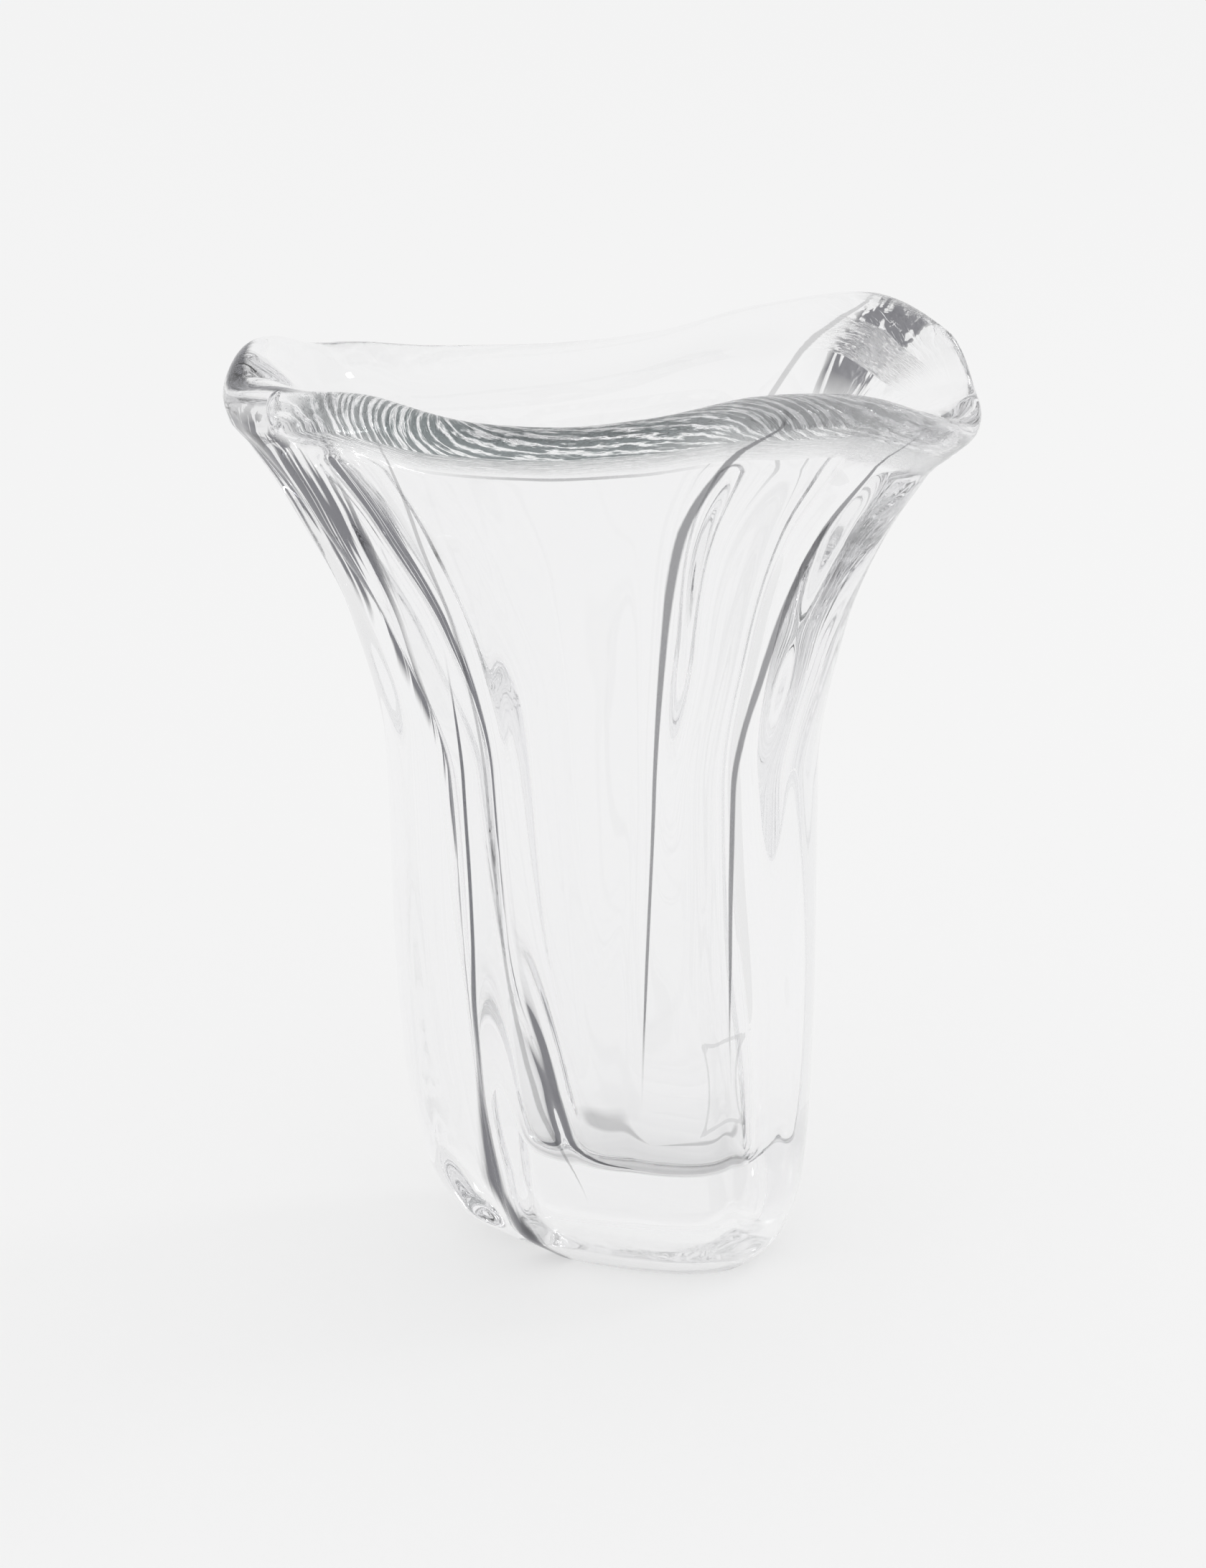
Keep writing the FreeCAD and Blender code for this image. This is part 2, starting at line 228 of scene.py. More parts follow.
# The skin's grid: the turns whose columns run along the dents, how far columns are drawn
# towards them and from how far, in degrees, and how much closer the rows lie at the foot.
DENT_TURNS = [40.0, 67.0, 110.0, 140.0]
GATHER, GATHER_SPREAD = 2.2, 6.0
ROW_CROWDING = 1.2


def along_dents(turn, level):
    """Angle of a column of the mesh at a level: columns at fixed turns run along the grooves
    and creases, and the rest lie evenly between them, so that no dent cuts across the mesh."""
    marks = np.array([0.0] + DENT_TURNS + [180.0])
    courses = np.stack([
        0 * level, at_level(RIGHT_GROOVE, level), at_level(RIGHT_CREASE, level),
        at_level(LEFT_CREASE, level), at_level(LEFT_GROOVE, level), 180 + 0 * level,
    ])
    turn = (turn + 180) % 360 - 180
    i = np.clip(np.searchsorted(marks, np.abs(turn), side="right") - 1, 0, len(marks) - 2)
    share = (np.abs(turn) - marks[i]) / (marks[i + 1] - marks[i])
    return np.sign(turn) * (courses[i] + (courses[i + 1] - courses[i]) * share[:, None]).T


def vase_skin(columns, outer_rows, lip_rows, inner_rows, corner_rows, cap_rows):
    """The whole glass skin as one grid, rows by columns: from the middle of the foot out to
    its edge, up the outside, over the lip by half a circle, down the cavity, round its
    corner by a quarter circle, and in to the middle of its floor. With each point go its
    angle, its level and its turn over the lip, which is 0 outside and half a circle inside,
    and the two middles close the grid."""
    turn = np.arange(columns) * 360.0 / columns
    for mark in DENT_TURNS:
        for side in (mark, 360.0 - mark):
            off = (turn - side) / GATHER_SPREAD
            turn = turn - GATHER * off * np.exp(-(off ** 2))
    rise = LIP_LEVEL * np.linspace(0, 1, outer_rows) ** ROW_CROWDING
    drop = np.linspace(LIP_LEVEL, (BASE_THICKNESS + CAVITY_CORNER) / MOUTH_HEIGHT, inner_rows)
    outer_turn, inner_turn = along_dents(turn, rise), along_dents(turn, drop)
    outer = outside(outer_turn, rise[:, None])
    inner = inside(inner_turn, drop[:, None], 0.0)
    # the lip
    lip_turn = outer_turn[-1]
    centre = (outer[-1] + inner[0]) / 2
    low = LIP_LEVEL - LEVEL_STEP
    along = centre - (outside(lip_turn, low) + inside(lip_turn, low, 0.0)) / 2
    along /= np.linalg.norm(along, axis=1, keepdims=True)
    across = outer[-1] - centre
    half = np.linalg.norm(across, axis=1, keepdims=True)
    roll = np.linspace(0, np.pi, lip_rows + 2)[1:-1, None, None]
    lip = centre + across * np.cos(roll) + along * half * np.sin(roll)
    # the corner and the floor of the cavity
    bend = np.linspace(0, np.pi / 2, corner_rows + 1)[1:, None]
    height = BASE_THICKNESS + CAVITY_CORNER * (1 - np.sin(bend))
    level = height / MOUTH_HEIGHT
    corner_turn = along_dents(turn, level[:, 0])
    corner = inside(corner_turn, level, CAVITY_CORNER * (1 - np.cos(bend)))
    corner[..., 2] = height
    shrink = np.linspace(0, 1, cap_rows + 2)[1:-1, None, None]
    foot_middle, floor_middle = outer[0].mean(0), corner[-1].mean(0)
    foot = foot_middle + (outer[0] - foot_middle) * shrink
    floor = floor_middle + (corner[-1] - floor_middle) * shrink[::-1]
    points = np.concatenate([foot, outer, lip, inner, corner, floor])
    angles = np.concatenate([
        np.repeat(outer_turn[:1], cap_rows, 0), outer_turn, np.repeat(lip_turn[None, :], lip_rows, 0),
        inner_turn, corner_turn, np.repeat(corner_turn[-1:], cap_rows, 0),
    ])
    levels = np.concatenate([
        np.zeros(cap_rows), rise, np.full(lip_rows, LIP_LEVEL), drop, level[:, 0],
        np.full(cap_rows, level[-1, 0]),
    ])
    inner_count = inner_rows + corner_rows + cap_rows
    rolls = np.concatenate([np.zeros(cap_rows + outer_rows), roll[:, 0, 0], np.full(inner_count, np.pi)])
    levels, rolls = levels[:, None] + 0 * angles, rolls[:, None] + 0 * angles
    return points, angles, levels, rolls, foot_middle, floor_middle


def bubble_skin(centre, size, rows, columns):
    """A round bubble as a grid from its top to its bottom, a ball's height and girth by the
    cosine and sine of the angle from the top, so that its skin faces the air within."""
    slope = np.linspace(0, np.pi, rows + 2)[1:-1, None]
    turn = np.arange(columns) * 2 * np.pi / columns
    ball = np.stack([
        np.sin(slope) * np.cos(turn), np.sin(slope) * np.sin(turn), np.cos(slope) + 0 * turn,
    ], -1)
    up = np.array([0, 0, size / 2])
    return centre + ball * size / 2, centre + up, centre - up


def closed_faces(rows, columns, start):
    """Faces of a grid that closes round its columns, its points counted from a start, with a
    fan of triangles to each of the two end points that follow the grid's own."""
    row, column = np.meshgrid(np.arange(rows - 1), np.arange(columns), indexing="ij")
    following = (column + 1) % columns
    quads = np.stack([
        row * columns + column, row * columns + following,
        (row + 1) * columns + following, (row + 1) * columns + column,
    ], -1).reshape(-1, 4)
    ring = np.arange(columns)
    after = (ring + 1) % columns
    count = rows * columns
    first = np.stack([np.full(columns, count), after, ring], 1)
    last = np.stack([np.full(columns, count + 1), count - columns + ring, count - columns + after], 1)
    return (quads + start).tolist() + (first + start).tolist() + (last + start).tolist()


skin, angles, levels, rolls, foot_middle, floor_middle = vase_skin(
    columns=430, outer_rows=100, lip_rows=16, inner_rows=84, corner_rows=9, cap_rows=3,
)
# The one seed bubble, in the lip's glass at the left tip: its angle round the rim, its
# size, and its place off the middle of the wall.
BUBBLE_ANGLE, BUBBLE_SIZE = -146.0, 0.0042
BUBBLE_OFFSET = np.array([0.0015, -0.0005, 0.0040])
tip_middle = (outside(BUBBLE_ANGLE, LIP_LEVEL) + inside(BUBBLE_ANGLE, LIP_LEVEL, 0.0)) / 2
bubble, bubble_top, bubble_bottom = bubble_skin(
    tip_middle + BUBBLE_OFFSET, BUBBLE_SIZE, rows=11, columns=24,
)
vase_mesh = bpy.data.meshes.new("vase_glass")
vase_mesh.from_pydata(
    np.concatenate([
        skin.reshape(-1, 3), [foot_middle, floor_middle],
        bubble.reshape(-1, 3), [bubble_top, bubble_bottom],
    ]).tolist(),
    [],
    closed_faces(*skin.shape[:2], 0) + closed_faces(*bubble.shape[:2], skin[..., 0].size + 2),
)
vase_mesh.polygons.foreach_set("use_smooth", np.ones(len(vase_mesh.polygons), bool))
vase_mesh.update()
vase = bpy.data.objects.new("vase_glass", vase_mesh)
bpy.context.scene.collection.objects.link(vase)

# Streaks, where the hot glass was stirred, from 0 to 1: on the lip, mostly its front, and on the ridge
# at the right back groove. Their low ridges are cords in the glass, and their dark tones are painted
# shade. Both ends of the lip stay clear. A pair of limits runs from none to full, in degrees round the
# oval, or in radians over the lip.
FRONT_LEFT_END, FRONT_RIGHT_END = (-135, -127), (-6, -26)
BACK_RIGHT_END, BACK_LEFT_END, BACK_DEPTH = (60, 80), (170, 150), 0.3
INNER_END = (2.8, 2.2)
LIP_DEPTH, LIP_EVEN_SHARE, LIP_MIDDLE, LIP_SPREAD = 1.15, 0.55, -92, 40
RIDGE_STREAK_DEPTH, RIDGE_STREAK_ANGLE, RIDGE_STREAK_SPREAD = 0.3, 44, 9
RIDGE_STREAK_LEVEL, RIDGE_STREAK_RISE, RIDGE_STREAK_INNER_END = 0.96, 0.03, 2
front = ramp(angles, *FRONT_LEFT_END) * ramp(angles, *FRONT_RIGHT_END)
back = BACK_DEPTH * ramp(angles, *BACK_RIGHT_END) * ramp(angles, *BACK_LEFT_END)
facing_front = (1 - np.sin(np.radians(angles))) / 2
on_lip = swell(levels) * ramp(rolls, *INNER_END) * facing_front * np.where(angles < 0, front, back)
lip_streaks = LIP_DEPTH * on_lip * (
    LIP_EVEN_SHARE + (1 - LIP_EVEN_SHARE) * bell(angles, LIP_MIDDLE, LIP_SPREAD)
)
ridge_streaks = RIDGE_STREAK_DEPTH * (rolls < RIDGE_STREAK_INNER_END) * (
    bell(angles, RIDGE_STREAK_ANGLE, RIDGE_STREAK_SPREAD)
    * hump(levels, RIDGE_STREAK_LEVEL, RIDGE_STREAK_RISE)
)
streaks = np.clip(lip_streaks + ridge_streaks, 0, 1)
# How far noise bends the streaks: less towards the tip.
TIP_CALM, TIP_CALM_SPREAD = 0.75, 45
stir = 1 - TIP_CALM * bell(angles, 180, TIP_CALM_SPREAD)
# The flow is the direction in which the streaks run: round the oval, and up the wall, over
# the lip and down again. On the lip it leans, by steps at the given angles, each with its
# half width in degrees and its height, so that streaks cross the lip.
FLOW_UP, FLOW_OVER = 1.1, 0.30
FLOW_LEANS = [(-114, 12, 1.5), (-52, 12, 0.9), (90, 40, -2.4)]
on_cavity = rolls > 3
run = np.where(on_cavity, 2 * LIP_LEVEL - levels, levels) + FLOW_OVER * rolls
leaning = sum(height * np.tanh((angles - place) / width) for place, width, height in FLOW_LEANS)
flow = np.stack([
    np.cos(np.radians(angles)), np.sin(np.radians(angles)), FLOW_UP * run + leaning * swell(levels),
], -1)
# Two grey spots of painted shade in the back corners of the cavity's floor: their angles and spreads.
SPOTS = [(141, 16), (48, 8)]
SPOT_LEVEL, SPOT_HEIGHT, SPOT_DEPTH, SPOT_EDGE = 0.108, 0.024, 0.6, (0.2, 0.7)
corner_shade = on_cavity * sum(bell(angles, *spot) for spot in SPOTS) * hump(levels, SPOT_LEVEL, SPOT_HEIGHT, 4)
corner_shade = SPOT_DEPTH * ramp(corner_shade, *SPOT_EDGE)
# The foot of the base is milky at the front, except under the left groove.
MILK_RISE, MILK_FRONT = (0.105, 0.045), (1 / 6, -1 / 6)
MILK_GAP_ANGLE, MILK_GAP_SPREAD = -140, 26
milk = smooth_ramp(levels, *MILK_RISE) * (1 - bell(angles, MILK_GAP_ANGLE, MILK_GAP_SPREAD))
milk = milk * ramp(np.sin(np.radians(angles)), *MILK_FRONT) * (1 - on_cavity)

# Dark lines of painted shade, where grooves and creases bend the light away. A half width never counts
# as less than the thinnest, in degrees, and no distance as more than the farthest.
outer_skin = np.clip(1 - rolls, 0, 1)
THINNEST, FARTHEST = 0.3, 60
NEAR_RIM = (0.80, 0.88)


def line(course, widths, depth, back_share):
    """Upright line on the outer wall: distance from its course in half widths, so that the
    line is where the distance is under 1, and its depth of tone, which falls off where the
    line narrows to nothing, and on the lip. The back has its share of it, near the rim."""
    half = at_level(widths, levels)
    share = np.where(angles < 0, 1.0, back_share * ramp(levels, *NEAR_RIM))
    tone = depth * share * np.clip(half / THINNEST, 0, 1) * outer_skin
    distance = (np.abs(angles) - at_level(course, levels)) / np.maximum(half, THINNEST)
    return np.clip(distance, -FARTHEST, FARTHEST), tone


# Angles and half widths in degrees, by level: the band of painted shade down the left flare, the left
# groove and crease, and the right crease and groove.
flare_band = line(
    [125, 125, 125, 125, 126, 129, 138, 143, 147, 150], [0, 0, 0, 0, 1.5, 6, 14, 24, 20, 10],
    depth=1, back_share=0,
)
left_groove_line = line(
    [116, 116, 122, 121, 116, 117, 115.5, 114, 113, 112], [9, 10, 9, 5.5, 1.1, 0.8, 0, 0, 0, 0],
    depth=1, back_share=0,
)
left_crease_line = line(
    [84, 84, 86, 98, 107, 110.5, 112, 113, 113, 113], [0, 0, 0, 1.3, 0.6, 0.5, 0.5, 0.5, 0.3, 0],
    depth=0.6, back_share=0,
)
right_crease_line = line(
    [70, 70, 70, 69, 67, 65, 64, 62.5, 57, 50], [0, 0, 0, 0, 0.5, 0.6, 0.9, 1.2, 1.0, 0],
    depth=0.9, back_share=0.6,
)
right_groove_line = line(
    [38, 38, 38, 38, 38.5, 38, 33, 30, 27, 25], [0, 0, 0, 0, 0.5, 0.8, 1.0, 0.8, 0.4, 0],
    depth=0.9, back_share=0,
)
# the flare band's streaks of painted shade again at the back, on the right end's ridge under the rim
BACK_BAND_ANGLE, BACK_BAND_HALF = 46, 8
BACK_BAND_START, BACK_BAND_OVER_LIP = (0.90, 0.93), (1.6, 0.6)
back_band_tone = ramp(levels, *BACK_BAND_START) * ramp(rolls, *BACK_BAND_OVER_LIP)
flare_band = np.where(
    angles < 0, flare_band, [(angles - BACK_BAND_ANGLE) / BACK_BAND_HALF, back_band_tone],
)

# Three marks of painted shade, each kept as a distance and a tone like a line's. The first is the
# panel's top edge, under the lip: its level and half height, and its middle and spread.
EDGE_LEVEL, EDGE_HALF = 0.944, 0.0022
EDGE_MIDDLE, EDGE_SPREAD, EDGE_DEPTH, EDGE_CUT = -84, 24, 0.7, 2 / 7
edge_tone = EDGE_DEPTH * ramp(bell(angles, EDGE_MIDDLE, EDGE_SPREAD), EDGE_CUT, 1) * outer_skin
panel_edge = (levels - EDGE_LEVEL) / EDGE_HALF, edge_tone
# The dark band of painted shade on the left tip: it starts outside, climbs over the lip towards the
# front, and narrows. Degrees from the tip, and turns over the lip in radians.
TIP_TURN, TIP_CLIMB = 0.80, 0.016
TIP_THIN_HALF, TIP_GAIN, TIP_GAIN_SPREAD = 0.18, 0.32, 36
TIP_NEAR_END, TIP_FAR_END = (-14, -2), (54, 40)
from_tip = angles % 360 - 180
tip_half = TIP_THIN_HALF + TIP_GAIN * hump(from_tip, 0, TIP_GAIN_SPREAD)
tip_tone = ramp(from_tip, *TIP_NEAR_END) * ramp(from_tip, *TIP_FAR_END) * swell(levels)
tip_mark = (rolls - TIP_TURN - TIP_CLIMB * from_tip) / tip_half, tip_tone
# The outline of a small square in painted shade where the right groove runs out: its sides are pinched
# in by a share of the square of the place along them.
SQUARE_ANGLE, SQUARE_HALF_WIDTH = -43, 9.5
SQUARE_LEVEL, SQUARE_HALF_HEIGHT = 0.252, 0.055
SQUARE_LINE, SQUARE_DEPTH, SQUARE_REACH = 0.06, 0.3, 1.3
SIDE_PINCH, END_PINCH = 0.4, 0.2
u = (angles - SQUARE_ANGLE) / SQUARE_HALF_WIDTH
v = (levels - SQUARE_LEVEL) / SQUARE_HALF_HEIGHT
pinched = np.maximum(
    np.abs(u) * (1 + SIDE_PINCH * (1 - v ** 2)), np.abs(v) * (1 + END_PINCH * (1 - u ** 2)),
)
square_tone = SQUARE_DEPTH * (np.abs(u) < SQUARE_REACH) * (np.abs(v) < SQUARE_REACH) * outer_skin
square = (pinched - 1) / SQUARE_LINE, square_tone
# the three lie apart, so they share one distance and one tone
TIP_FROM, SQUARE_BELOW = 125, 0.6
at_tip, low_down = np.abs(angles) > TIP_FROM, levels < SQUARE_BELOW
marks = np.where(at_tip, tip_mark, np.where(low_down, square, panel_edge))

# All of it is kept on the mesh's points, with nothing on the middles and the bubble.
left_lines, left_tones = np.moveaxis([flare_band, left_groove_line, left_crease_line], 0, -1)
right_lines, right_tones = np.moveaxis([right_crease_line, right_groove_line, marks], 0, -1)
extra = len(vase_mesh.vertices) - streaks.size
vectors = {
    "flow": flow, "left_lines": left_lines, "left_tones": left_tones,
    "right_lines": right_lines, "right_tones": right_tones,
}
for name, values in vectors.items():
    attribute = vase_mesh.attributes.new(name, "FLOAT_VECTOR", "POINT")
    attribute.data.foreach_set("vector", np.append(values.ravel(), np.zeros(3 * extra)))
for name, values in {"streaks": streaks, "stir": stir, "corner_shade": corner_shade, "milk": milk}.items():
    attribute = vase_mesh.attributes.new(name, "FLOAT", "POINT")
    attribute.data.foreach_set("value", np.append(values.ravel(), np.zeros(extra)))

# The glass: clear, a little grey in its depth, with dark and pale streaks whose dark tones are painted
# shade, dark lines of painted shade and a milky foot, which lie where the values on the mesh's points
# say. The shader's plain colour and transmission are only for viewers that read no nodes.
TINT, TINT_DENSITY = (0.845, 0.845, 0.86, 1.0), 2.2
# the dark colour beside the clear one is the painted shade of the lines, marks and spots
CLEAR, PAINTED_SHADE = (0.988, 0.988, 0.99, 1.0), (0.04, 0.04, 0.048, 1.0)
# the streaks' tones, of which the two darker are painted shade
STREAK_TONES = [
    (0.30, (0.06, 0.075, 0.077, 1.0)), (0.68, (0.36, 0.40, 0.40, 1.0)), (0.86, (0.97, 0.98, 0.98, 1.0)),
]
STREAK_BEND, MILK_SHARE = 8.0, 0.6
BAND_FILL, BAND_STREAKS, BAND_EDGE = 0.22, (0.52, 0.60), (0.0, 0.3)
FRAY_REACH, FRAY_DEPTH, LINE_EDGE = 1.25, 0.5, (0.0, 0.45)
glass = bpy.data.materials.new("clear_glass")
glass.use_nodes = True
nodes, links = glass.node_tree.nodes, glass.node_tree.links
shader = nodes["Principled BSDF"]
shader.inputs["Base Color"].default_value = (1.0, 1.0, 1.0, 1.0)
shader.inputs["Transmission Weight"].default_value = 1.0
shader.inputs["Roughness"].default_value = 0.0
shader.inputs["IOR"].default_value = 1.52
tint = nodes.new("ShaderNodeVolumeAbsorption")
tint.inputs["Color"].default_value = TINT
tint.inputs["Density"].default_value = TINT_DENSITY
links.new(tint.outputs["Volume"], nodes["Material Output"].inputs["Volume"])


def worked_out(operation, first, second):
    """Value of a sum or product of two, each a number or another node's value."""
    node = nodes.new("ShaderNodeMath")
    node.operation = operation
    for socket, value in zip(node.inputs, (first, second)):
        if isinstance(value, (int, float)):
            socket.default_value = value
        else:
            links.new(value, socket)
    return node.outputs["Value"]


def stepped(value, low, high):
    """Smooth step of a value, from 0 at the low limit to 1 at the high one."""
    node = nodes.new("ShaderNodeMapRange")
    node.interpolation_type = "SMOOTHSTEP"
    node.inputs["From Min"].default_value = low
    node.inputs["From Max"].default_value = high
    links.new(value, node.inputs["Value"])
    return node.outputs["Result"]


def read_value(name):
    """A value kept on the mesh's points."""
    read = nodes.new("ShaderNodeAttribute")
    read.attribute_name = name
    return read.outputs["Fac"]


def read_vector(name):
    """The three values of a vector kept on the mesh's points."""
    read = nodes.new("ShaderNodeAttribute")
    read.attribute_name = name
    parts = nodes.new("ShaderNodeSeparateXYZ")
    links.new(read.outputs["Vector"], parts.inputs["Vector"])
    return list(parts.outputs)


# slow swells all over
place = nodes.new("ShaderNodeTexCoord")
slow = nodes.new("ShaderNodeTexNoise")
slow.inputs["Scale"].default_value = 16.0
slow.inputs["Detail"].default_value = 0.0
slow_bump = nodes.new("ShaderNodeBump")
slow_bump.inputs["Strength"].default_value = 0.03
slow_bump.inputs["Distance"].default_value = 0.0015
links.new(place.outputs["Object"], slow.inputs["Vector"])
links.new(slow.outputs["Fac"], slow_bump.inputs["Height"])
# streaks: bands across the flow, bent by noise, each also a low ridge, whose dark tones are painted
# shade
flowing = nodes.new("ShaderNodeAttribute")
flowing.attribute_name = "flow"
streaky = read_value("streaks")
swirl = nodes.new("ShaderNodeTexWave")
swirl.wave_type = "BANDS"
swirl.bands_direction = "Z"
swirl.inputs["Scale"].default_value = 2.0
swirl.inputs["Detail"].default_value = 3.0
swirl.inputs["Detail Scale"].default_value = 4.5
swirl.inputs["Detail Roughness"].default_value = 0.7
tones = nodes.new("ShaderNodeValToRGB")
tones.color_ramp.elements.new(STREAK_TONES[1][0])
for stop, (position, tone) in zip(tones.color_ramp.elements, STREAK_TONES):
    stop.position = position
    stop.color = tone
streak_shaded = nodes.new("ShaderNodeMix")
streak_shaded.data_type = "RGBA"
streak_shaded.inputs["A"].default_value = CLEAR
swirl_bump = nodes.new("ShaderNodeBump")
swirl_bump.inputs["Strength"].default_value = 1.0
swirl_bump.inputs["Distance"].default_value = 0.0005
links.new(flowing.outputs["Vector"], swirl.inputs["Vector"])
links.new(worked_out("MULTIPLY", read_value("stir"), STREAK_BEND), swirl.inputs["Distortion"])
links.new(swirl.outputs["Fac"], tones.inputs["Fac"])
links.new(streaky, streak_shaded.inputs["Factor"])
links.new(tones.outputs["Color"], streak_shaded.inputs["B"])
links.new(worked_out("MULTIPLY", swirl.outputs["Fac"], streaky), swirl_bump.inputs["Height"])
links.new(slow_bump.outputs["Normal"], swirl_bump.inputs["Normal"])
links.new(swirl_bump.outputs["Normal"], shader.inputs["Normal"])
# fine noise, drawn out up the wall, which frays the lines and streaks the flare's band
drawn_out = nodes.new("ShaderNodeVectorMath")
drawn_out.operation = "MULTIPLY"
drawn_out.inputs[1].default_value = (5.0, 5.0, 1.0)
fray = nodes.new("ShaderNodeTexNoise")
fray.inputs["Scale"].default_value = 6.0
fray.inputs["Detail"].default_value = 2.0
fray.inputs["Distortion"].default_value = 0.4
links.new(flowing.outputs["Vector"], drawn_out.inputs[0])
links.new(drawn_out.outputs["Vector"], fray.inputs["Vector"])
fraying = fray.outputs["Fac"]
# painted shade: the darkest of the flare's band, the lines, the marks and the spots
distances = [
    worked_out("ABSOLUTE", part, 0.0) for part in read_vector("left_lines") + read_vector("right_lines")
]
depths = read_vector("left_tones") + read_vector("right_tones")
in_band = worked_out("SUBTRACT", 1.0, distances[0])
band_streaks = worked_out("ADD", fraying, worked_out("MULTIPLY", in_band, BAND_FILL))
dark = worked_out("MULTIPLY", stepped(band_streaks, *BAND_STREAKS), stepped(in_band, *BAND_EDGE))
dark = worked_out("MULTIPLY", dark, depths[0])
frayed_edge = worked_out("ADD", FRAY_REACH, worked_out("MULTIPLY", fraying, -FRAY_DEPTH))
for distance, depth in zip(distances[1:], depths[1:]):
    inward = stepped(worked_out("SUBTRACT", frayed_edge, distance), *LINE_EDGE)
    dark = worked_out("MAXIMUM", dark, worked_out("MULTIPLY", inward, depth))
dark = worked_out("MAXIMUM", dark, read_value("corner_shade"))
lined = nodes.new("ShaderNodeMix")
lined.data_type = "RGBA"
lined.inputs["B"].default_value = PAINTED_SHADE
links.new(dark, lined.inputs["Factor"])
links.new(streak_shaded.outputs["Result"], lined.inputs["A"])
links.new(lined.outputs["Result"], shader.inputs["Base Color"])
# the milky foot: part of the light scatters at its skin
clear_share = worked_out("SUBTRACT", 1.0, worked_out("MULTIPLY", read_value("milk"), MILK_SHARE))
links.new(clear_share, shader.inputs["Transmission Weight"])
vase.data.materials.append(glass)
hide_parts("vase_body")
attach(vase, "root")

# The table: a pale paper top that ends just to the vase's right. It takes a soft shadow,
# and to all but scattered light a good share of it is an even pale tone.
PAPER = 0.907
PAPER_COLOUR, PAPER_EVEN_SHARE = (0.9, 0.9, 0.9, 1.0), 0.66
TABLE_REACH, TABLE_RIGHT, TABLE_TOP = 15.0, 0.28, -0.0003
floor_mesh = bpy.data.meshes.new("floor")
floor_mesh.from_pydata(
    [
        (-TABLE_REACH, -TABLE_REACH, TABLE_TOP), (TABLE_RIGHT, -TABLE_REACH, TABLE_TOP),
        (TABLE_RIGHT, TABLE_REACH, TABLE_TOP), (-TABLE_REACH, TABLE_REACH, TABLE_TOP),
    ],
    [], [(0, 1, 2, 3)],
)
floor = bpy.data.objects.new("floor", floor_mesh)
bpy.context.scene.collection.objects.link(floor)
paper = bpy.data.materials.new("pale_paper")
paper.use_nodes = True
paper_nodes, paper_links = paper.node_tree.nodes, paper.node_tree.links
paper_shader = paper_nodes["Principled BSDF"]
paper_shader.inputs["Base Color"].default_value = PAPER_COLOUR
paper_shader.inputs["Roughness"].default_value = 1.0
paper_shader.inputs["Specular IOR Level"].default_value = 0.0
even = paper_nodes.new("ShaderNodeEmission")
even.inputs["Color"].default_value = (PAPER, PAPER, PAPER, 1.0)
paper_rays = paper_nodes.new("ShaderNodeLightPath")
evened = paper_nodes.new("ShaderNodeMixShader")
even_share = paper_nodes.new("ShaderNodeMath")
even_share.operation = "MULTIPLY_ADD"
even_share.inputs[1].default_value = -PAPER_EVEN_SHARE
even_share.inputs[2].default_value = PAPER_EVEN_SHARE
paper_links.new(paper_rays.outputs["Is Diffuse Ray"], even_share.inputs[0])
paper_links.new(even_share.outputs["Value"], evened.inputs["Fac"])
paper_links.new(paper_shader.outputs[0], evened.inputs[1])
paper_links.new(even.outputs[0], evened.inputs[2])
paper_links.new(evened.outputs[0], paper_nodes["Material Output"].inputs["Surface"])
floor_mesh.materials.append(paper)

# The key light: a soft box from the back right.
KEY_FROM = Vector((0.95, 0.75, 1.35))
KEY_LENGTH, KEY_DEPTH, KEY_POWER = 0.34, 0.24, 2.6
key_data = bpy.data.lights.new("key", "AREA")
key_data.shape = "RECTANGLE"
key_data.size, key_data.size_y = KEY_LENGTH, KEY_DEPTH
key_data.energy = KEY_POWER
key = bpy.data.objects.new("key", key_data)
key.location = KEY_FROM
key.rotation_euler = (-KEY_FROM).to_track_quat("-Z", "Y").to_euler()
bpy.context.scene.collection.objects.link(key)

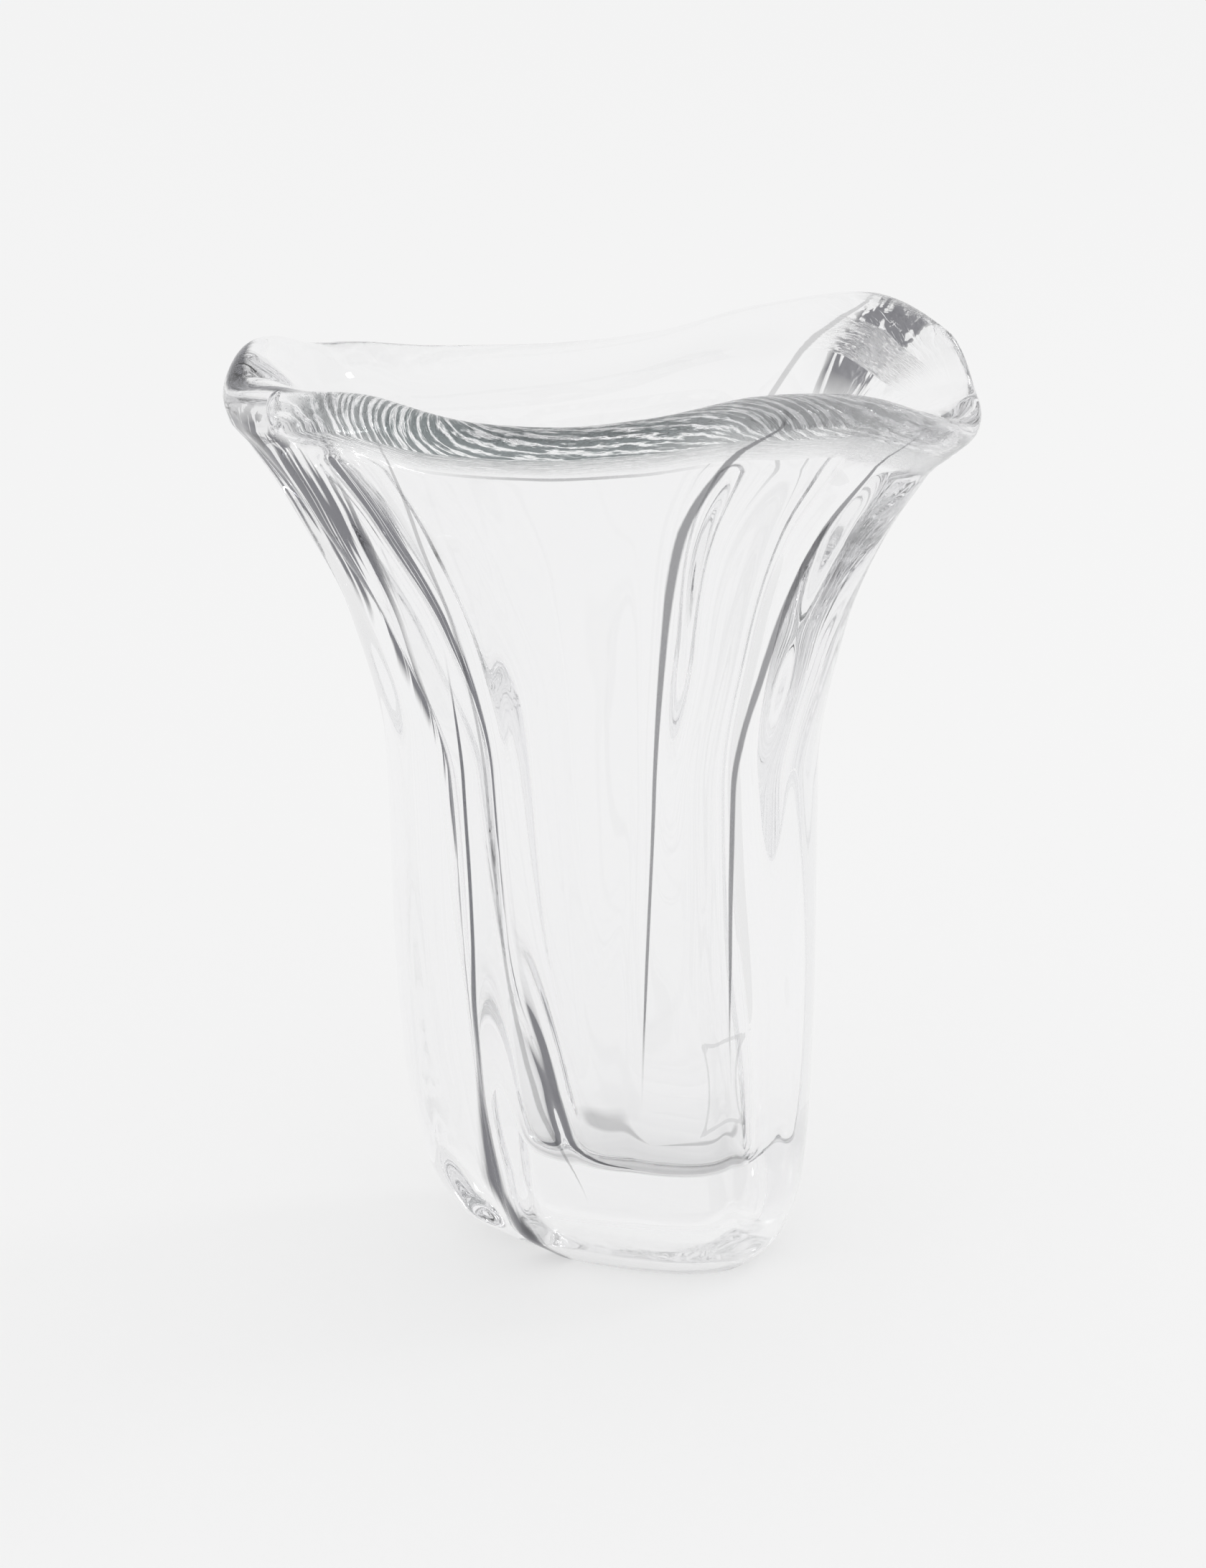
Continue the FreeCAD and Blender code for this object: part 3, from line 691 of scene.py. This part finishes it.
# The room: the glass sees pale grey walls with two soft round screens, the paper is lit by
# an even fill, and the view itself sees the paper's own tone behind the table. The screens'
# values are turn and rise of the middle, half width and softness, all in degrees, and how
# bright they are. The later one lies over the earlier.
ROOM, FILL = 0.88, 0.972
SCREENS = [(28, 8, 46, 10, 0.83), (0, 90, 25, 8, 0.95)]
world = bpy.data.worlds.new("studio")
bpy.context.scene.world = world
world.use_nodes = True
nodes, links = world.node_tree.nodes, world.node_tree.links
nodes.clear()
way = nodes.new("ShaderNodeTexCoord")
room = nodes.new("ShaderNodeValue")
room.outputs[0].default_value = ROOM
look = room.outputs[0]
for turn, rise, half_width, softness, grey in SCREENS:
    turn, rise = math.radians(turn), math.radians(rise)
    towards = nodes.new("ShaderNodeVectorMath")
    towards.operation = "DOT_PRODUCT"
    towards.inputs[1].default_value = (
        math.cos(turn) * math.cos(rise), math.sin(turn) * math.cos(rise), math.sin(rise),
    )
    edge = nodes.new("ShaderNodeMapRange")
    edge.interpolation_type = "SMOOTHSTEP"
    edge.inputs["From Min"].default_value = math.cos(math.radians(half_width + softness))
    edge.inputs["From Max"].default_value = math.cos(math.radians(half_width - softness))
    over = nodes.new("ShaderNodeMix")
    over.data_type = "FLOAT"
    over.inputs["B"].default_value = grey
    links.new(way.outputs["Generated"], towards.inputs[0])
    links.new(towards.outputs["Value"], edge.inputs["Value"])
    links.new(edge.outputs["Result"], over.inputs["Factor"])
    links.new(look, over.inputs["A"])
    look = over.outputs["Result"]
seen = nodes.new("ShaderNodeBackground")
links.new(look, seen.inputs["Color"])
fill = nodes.new("ShaderNodeBackground")
fill.inputs["Color"].default_value = (FILL, FILL, FILL, 1.0)
bright = nodes.new("ShaderNodeBackground")
bright.inputs["Color"].default_value = (PAPER, PAPER, PAPER, 1.0)
rays = nodes.new("ShaderNodeLightPath")
by_paper = nodes.new("ShaderNodeMixShader")
by_camera = nodes.new("ShaderNodeMixShader")
out = nodes.new("ShaderNodeOutputWorld")
links.new(rays.outputs["Diffuse Depth"], by_paper.inputs["Fac"])
links.new(seen.outputs[0], by_paper.inputs[1])
links.new(fill.outputs[0], by_paper.inputs[2])
links.new(rays.outputs["Is Camera Ray"], by_camera.inputs["Fac"])
links.new(by_paper.outputs[0], by_camera.inputs[1])
links.new(bright.outputs[0], by_camera.inputs[2])
links.new(by_camera.outputs[0], out.inputs["Surface"])
scene = bpy.context.scene
scene.cycles.max_bounces = 32
scene.cycles.transmission_bounces = 32
scene.cycles.glossy_bounces = 16
scene.view_settings.view_transform = "Standard"
